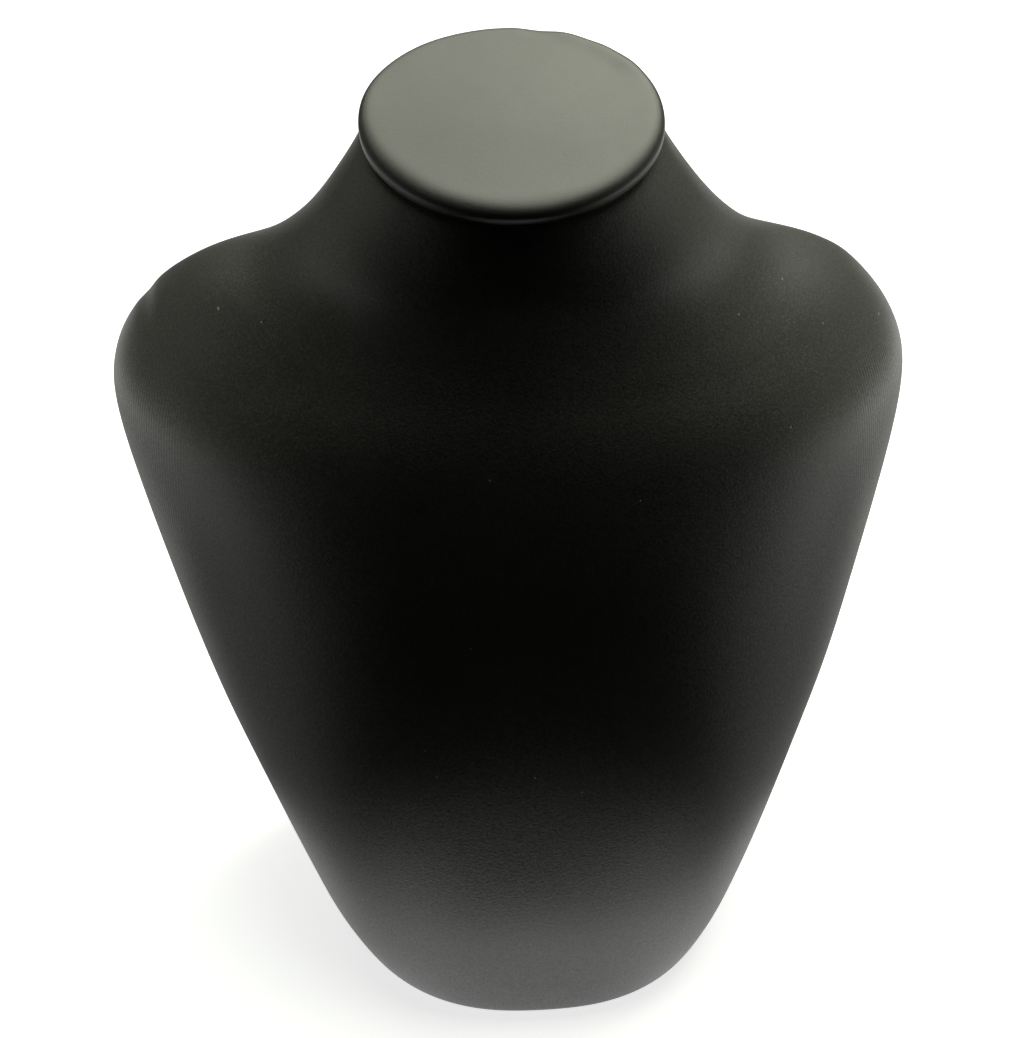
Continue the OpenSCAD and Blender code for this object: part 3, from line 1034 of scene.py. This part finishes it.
@dataclass(frozen=True)
class Back:
    """The flat board that closes the back, and the flocked lining glued on it."""

    form: TorsoForm
    fibreboard: PlainFinish = PlainFinish(
        "black_fibreboard", Slot.FIBREBOARD, "#1d1c1a", "#2a2825", 0.85, 2.0, 0.4, 0.04
    )
    velvet: PlainFinish = PlainFinish(
        "velvet_paper", Slot.VELVET_PAPER, "#0f0f10", "#161617", 0.95, 1.2, 0.25, 0.08, 0.35
    )
    inset: float = 7.5
    side_top: float = 146.0
    rise: float = 7.0
    corner_r: float = 6.0
    side_slope: float = 0.18
    side_steps: int = 24
    arch_steps: int = 8
    board: float = 2.0
    lining: float = 0.4
    glue: float = 0.1
    lining_inset: float = 0.3

    def half_width(self, level: float) -> float:
        """Half the torso's width at a level over the foot, in millimetres."""
        form = self.form
        place = halve(0.0, float(form.last), lambda half: form.section(half).level < level)
        return form.section(place).width / 2

    def outline(self, inset: float) -> list[Flat]:
        """The board's outline from the low right corner round to the low left one.

        Args:
            inset: How far the outline is drawn in from the board's, in millimetres.

        Returns:
            Points across and up, in millimetres over the foot.
        """
        low, high = self.inset + inset, self.side_top
        sides = [low + (high - low) * k / self.side_steps for k in range(self.side_steps + 1)]
        right = [(self.half_width(z) - self.inset - inset, z) for z in sides]
        wide = right[-1][0]
        arch = [
            (x, self.side_top + self.rise * (1 - (x / wide) ** 2) - inset)
            for x in (wide * (1 - k / self.arch_steps) for k in range(1, self.arch_steps))
        ]
        right_side = self.rounded(right + arch)
        return right_side + [(0.0, self.side_top + self.rise - inset)] + [
            (-x, z) for x, z in reversed(right_side)
        ]

    def rounded(self, points: list[Flat]) -> list[Flat]:
        """Rounds the two corners of the right side of the outline.

        Args:
            points: The right side, from the low corner to the arch's middle.

        Returns:
            The same run with an arc at the low corner and one under the arch.
        """
        r = self.corner_r
        low_x, low_z = points[0]
        arc = [
            (low_x - r * (1 - math.sin(a)) + self.side_slope * r * math.sin(a),
             low_z + r * (1 - math.cos(a)))
            for a in (math.radians(d) for d in range(0, 90, 15))
        ]
        body = [p for p in points if p[1] > low_z + r]
        top = max(k for k, p in enumerate(body) if p[1] <= self.side_top)
        before, after = body[: top - 1], body[top + 1 :]
        start, corner, end = Vector(before[-1]), Vector(body[top]), Vector(after[0])
        bend = [
            tuple(start.lerp(corner, t).lerp(corner.lerp(end, t), t)) for t in (0.2, 0.4, 0.6, 0.8)
        ]
        return arc + before + bend + after

    def rings(self, inset: float, near: float, far: float) -> list[Ring]:
        """The two outlines of a slab on the back, in metres.

        Args:
            inset: How far they are drawn in, in millimetres.
            near: Distance of the inner one from the flat back, in millimetres.
            far: Distance of the outer one.
        """
        y, lift = self.form.back_y, self.form.lift
        return [
            [Vector((x, y + out, lift + z)) * MM for x, z in self.outline(inset)]
            for out in (near, far)
        ]

    def build(self) -> None:
        """Builds the board and its lining and sets both on the frame."""
        high = self.glue + self.board
        panel = draw_slab("back_panel", self.rings(0.0, self.glue, high), bevel_mm=0.35)
        place_piece(panel, self.fibreboard, "back_board")
        low = high + self.glue
        outlines = self.rings(self.lining_inset, low, low + self.lining)
        paper = draw_slab("back_velvet", outlines, bevel_mm=0.12, segments=2)
        place_piece(paper, self.velvet, "back_lining")


@dataclass(frozen=True)
class FootPad:
    """The felt pad that the stand rests on."""

    form: TorsoForm
    felt: PlainFinish = PlainFinish(
        "black_felt", Slot.FELT, "#18181a", "#232325", 0.95, 1.5, 0.3, 0.15, 0.25
    )
    thickness: float = 1.5
    inset: float = 4.0

    def build(self) -> None:
        """Builds the pad and sets it on the frame."""
        ring = self.form.drawn_in(self.form.ring(0.0), self.inset)
        rings = [[Vector((p.x, p.y, z * MM)) for p in ring] for z in (0.0, self.thickness)]
        place_piece(draw_slab("foot_felt", rings, bevel_mm=0.3), self.felt, "foot_pad")


# ---- the stage


@dataclass(frozen=True)
class Floor:
    """The pale floor, white to the camera outside the stand's shadow, which glows in a pattern to
    glossy rays as a painted light.

    The leatherette mirrors it: bright close before the foot and far behind the
    stand, dimmer beside it, and dark towards the camera, as in the photograph.
    Distances are in metres from the stand's middle. A way out from there runs
    from -1, straight to the front, to 1, straight to the back.
    """

    size: float = 12.0
    paper: str = "#e9ecf0"
    own_glow: float = 0.75
    foot_far: Step = Step(0.13, 0.093)
    foot_wider: Step = Step(-0.9, -0.4, 0.0, 0.018)
    foot_way: Step = Step(-0.4, -0.9, 0.65, 1.0)
    beside_way: Step = Step(-0.68, -0.25)
    beside_far: Step = Step(0.3, 0.8, 0.16, 0.65)
    behind_way: Step = Step(0.15, 0.6, 0.0, 0.34)
    behind_dim: Step = Step(0.76, 0.95, 1.0, 0.2)
    more_right: float = 0.2

    def painted_glow(self, graph: Graph) -> Socket:
        """How brightly each place of the floor glows to glossy rays, a painted light, from 0 to 1.
        """
        far = graph.add("VectorMath", {0: graph.place}, operation="LENGTH").outputs["Value"]
        axes = graph.axes(graph.place)
        way = graph.maths("DIVIDE", axes["Y"], far)
        right = graph.maths("DIVIDE", axes["X"], far)
        wider = graph.maths("ADD", far, graph.ramp(way, self.foot_wider))
        at_foot = graph.product(graph.ramp(wider, self.foot_far), graph.ramp(way, self.foot_way))
        beside = graph.product(graph.ramp(way, self.beside_way), graph.ramp(far, self.beside_far))
        behind = graph.product(graph.ramp(way, self.behind_way), graph.ramp(way, self.behind_dim))
        around = graph.product(
            graph.maths("MAXIMUM", behind, beside), graph.line(right, self.more_right, 1.0)
        )
        return graph.maths("MAXIMUM", at_foot, around)

    def build(self) -> None:
        """Lays the floor under the stand."""
        deselect()
        bpy.ops.mesh.primitive_plane_add(size=self.size)
        piece = bpy.context.object
        piece.name = piece.data.name = "floor"
        graph = Graph.within(bpy.data.materials.new("floor_paper"))
        # Painted light: the floor glows in this pattern to glossy rays, and outside it its colour
        # is dark to rays that are not the camera's.
        share = self.painted_glow(graph)
        ray = graph.add("LightPath").outputs
        seen = graph.maths("MAXIMUM", share, ray["Is Camera Ray"])
        shader = graph.add("BsdfPrincipled", {
            "Base Color": graph.mix(seen, linear("#000000"), linear(self.paper)),
            "Roughness": 0.9, "Specular IOR Level": 0.0, "Emission Color": linear("#ffffff"),
            "Emission Strength": graph.maths(
                "ADD", graph.product(ray["Is Glossy Ray"], share),
                graph.product(ray["Is Camera Ray"], self.own_glow),
            ),
        })
        graph.add("OutputMaterial", {"Surface": shader.outputs["BSDF"]})
        piece.data.materials.append(graph.owner)


@dataclass(frozen=True)
class Surround:
    """The light from around: white to the camera, to the rest a low glow from behind.

    It goes by the parts of a direction: X to the right, Y to the back and Z up.
    """

    colour: str = "#f4f5e4"
    behind: Step = Step(-0.47, -0.08, 0.01)
    low: Step = Step(0.66, 0.22, 0.02)
    # Straight behind the stand, close over the floor, it is dimmer.
    dim_back: Step = Step(0.15, 0.75)
    dim_low: Step = Step(0.45, 0.2)
    dim: float = -0.75
    dim_right: float = 0.15
    # Its strength in the middle, and what the sides and the right add to that.
    level: float = 0.4
    more_right: float = 0.1
    more_aside: float = 0.22

    def build(self) -> None:
        """Makes the world."""
        world = bpy.data.worlds.new("studio")
        bpy.context.scene.world = world
        graph = Graph.within(world, "Generated")
        way = graph.axes(graph.place)
        dimmed = graph.product(
            graph.ramp(way["Y"], self.dim_back), graph.ramp(way["Z"], self.dim_low),
            graph.line(way["X"], self.dim_right, self.dim),
        )
        behind = graph.product(graph.ramp(way["Y"], self.behind), graph.maths("ADD", dimmed, 1.0))
        level = graph.line(
            graph.maths("ABSOLUTE", way["X"]), self.more_aside,
            graph.line(way["X"], self.more_right, self.level),
        )
        strength = graph.product(behind, graph.ramp(way["Z"], self.low), level)
        glow = graph.add("Background", {"Color": linear(self.colour), "Strength": strength})
        white = graph.add("Background", {"Color": linear("#ffffff")})
        ray = graph.add("LightPath").outputs["Is Camera Ray"]
        both = graph.add("MixShader", {0: ray, 1: glow.outputs[0], 2: white.outputs[0]})
        graph.add("OutputWorld", {"Surface": both.outputs[0]})


@dataclass(frozen=True)
class Lamp:
    """A soft far light, which leans from straight up to the back and to the right."""

    name: str
    energy: float
    to_back: float
    to_right: float
    spread: float = 40.0
    colour: str = "#fafce8"

    def build(self) -> None:
        """Hangs the light."""
        data = bpy.data.lights.new(self.name, "SUN")
        data.energy, data.angle = self.energy, math.radians(self.spread)
        data.color = linear(self.colour)[:3]
        item = bpy.data.objects.new(self.name, data)
        lean, side = math.radians(self.to_back), math.radians(self.to_right)
        way = Vector((math.tan(side), math.tan(lean), 1)).normalized()
        item.rotation_euler = way.to_track_quat("Z", "Y").to_euler()
        bpy.context.scene.collection.objects.link(item)


@dataclass(frozen=True)
class Studio:
    """Camera, floor and light. None of them is part of the stand.

    The camera's angles are in degrees, its distance is in metres, and its focal
    length and the shift of its middle are in the photograph's pixels.
    """

    form: TorsoForm
    picture_px: float = 1028.0
    azimuth: float = -2.85
    elevation: float = 23.6
    roll: float = -1.24
    distance: float = 0.436
    focal_px: float = 1800.0
    shift_px: tuple[float, float] = (-5.2, -31.5)
    sensor_mm: float = 36.0
    aim_in: float = 45.0
    aim_up: float = 110.0
    lamps: tuple[Lamp, ...] = (
        Lamp("right_light", 1.35, 30.0, 24.0),
        Lamp("left_light", 0.78, 33.0, -14.0),
        Lamp("top_light", 1.15, 3.0, 8.0),
    )

    def camera(self) -> None:
        """Makes the camera and puts it where the photograph was taken."""
        a, e, roll = (math.radians(v) for v in (self.azimuth, self.elevation, self.roll))
        back = Vector((math.sin(a) * math.cos(e), -math.cos(a) * math.cos(e), math.sin(e)))
        right = Vector((0, 0, 1)).cross(back).normalized()
        up = back.cross(right)
        turned = (right * math.cos(roll) + up * math.sin(roll),
                  up * math.cos(roll) - right * math.sin(roll), back)
        target = Vector((0, self.form.back_y - self.aim_in, self.form.lift + self.aim_up)) * MM
        data = bpy.data.cameras.new("camera")
        data.sensor_fit, data.sensor_width = "HORIZONTAL", self.sensor_mm
        data.lens = self.focal_px / self.picture_px * self.sensor_mm
        data.shift_x, data.shift_y = (shift / self.picture_px for shift in self.shift_px)
        data.clip_start, data.clip_end = 0.01, 50.0
        view = bpy.data.objects.new("camera", data)
        bpy.context.scene.collection.objects.link(view)
        turn = Matrix(turned).transposed().to_4x4()
        view.matrix_world = Matrix.Translation(target + back * self.distance) @ turn
        bpy.context.scene.camera = view

    def build(self) -> None:
        """Builds the whole stage."""
        self.camera()
        Floor().build()
        Surround().build()
        for lamp in self.lamps:
            lamp.build()
        bpy.context.scene.view_settings.view_transform = "Standard"


def main() -> None:
    """Builds the stand piece by piece, then its stage."""
    logging.basicConfig(level=logging.INFO, format="%(name)s: %(message)s")
    form = TorsoForm()
    TorsoCover(form).build()
    cap = Cap(form)
    cap.build()
    cap.build_pad()
    Back(form).build()
    FootPad(form).build()
    # Two CAD nodes stay as they are, hidden inside the stand.
    dress(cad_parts["torso_core"], PlainFinish(
        "moulded_polystyrene", Slot.MOULDING, "#d9d6cc", "#cfccc1", 0.5, 30.0, 0.9, 0.02
    ))
    dress(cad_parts["cap_board"], PlainFinish(
        "grey_board", Slot.FIBREBOARD, "#8d7657", "#7c6749", 0.85, 3.0, 0.5, 0.03
    ))
    Studio(form).build()


if __name__ == "__main__":
    main()
